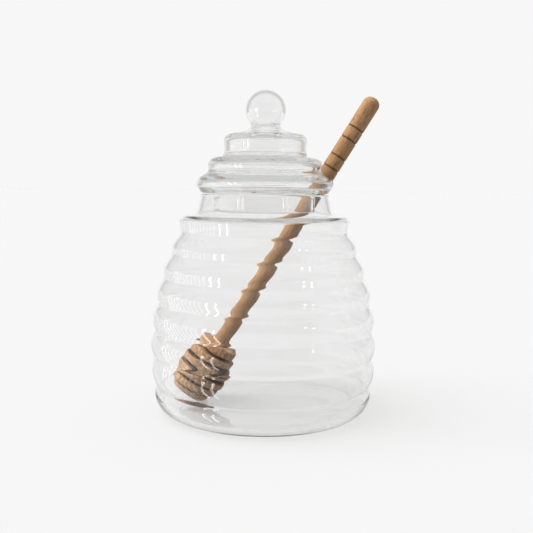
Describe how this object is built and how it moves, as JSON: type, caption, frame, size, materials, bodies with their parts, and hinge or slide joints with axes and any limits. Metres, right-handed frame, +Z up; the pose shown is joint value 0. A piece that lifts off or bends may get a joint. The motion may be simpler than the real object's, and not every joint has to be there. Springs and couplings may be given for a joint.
{
  "type": "glass honey pot with dipper",
  "caption": "Beehive-shaped clear glass honey pot with ribbed sides, a stepped notched lid with a ball knob, and a turned wooden honey dipper leaning inside.",
  "frame": {"origin": "centre of the jar's flat base, on the table", "axes": "+Z up along the jar's axis, +X towards the lid's notch and the dipper's handle, the viewer stands on the -Y side"},
  "size_m": [0.1072, 0.1072, 0.1527],
  "materials": {
    "glass": "clear colourless blown glass, fire-polished edges",
    "wood": "bare turned beech with burnt grooves"
  },
  "bodies": {
    "root": {"jar": "glass", "lid": "glass", "dipper": "wood"}
  },
  "joints": []
}
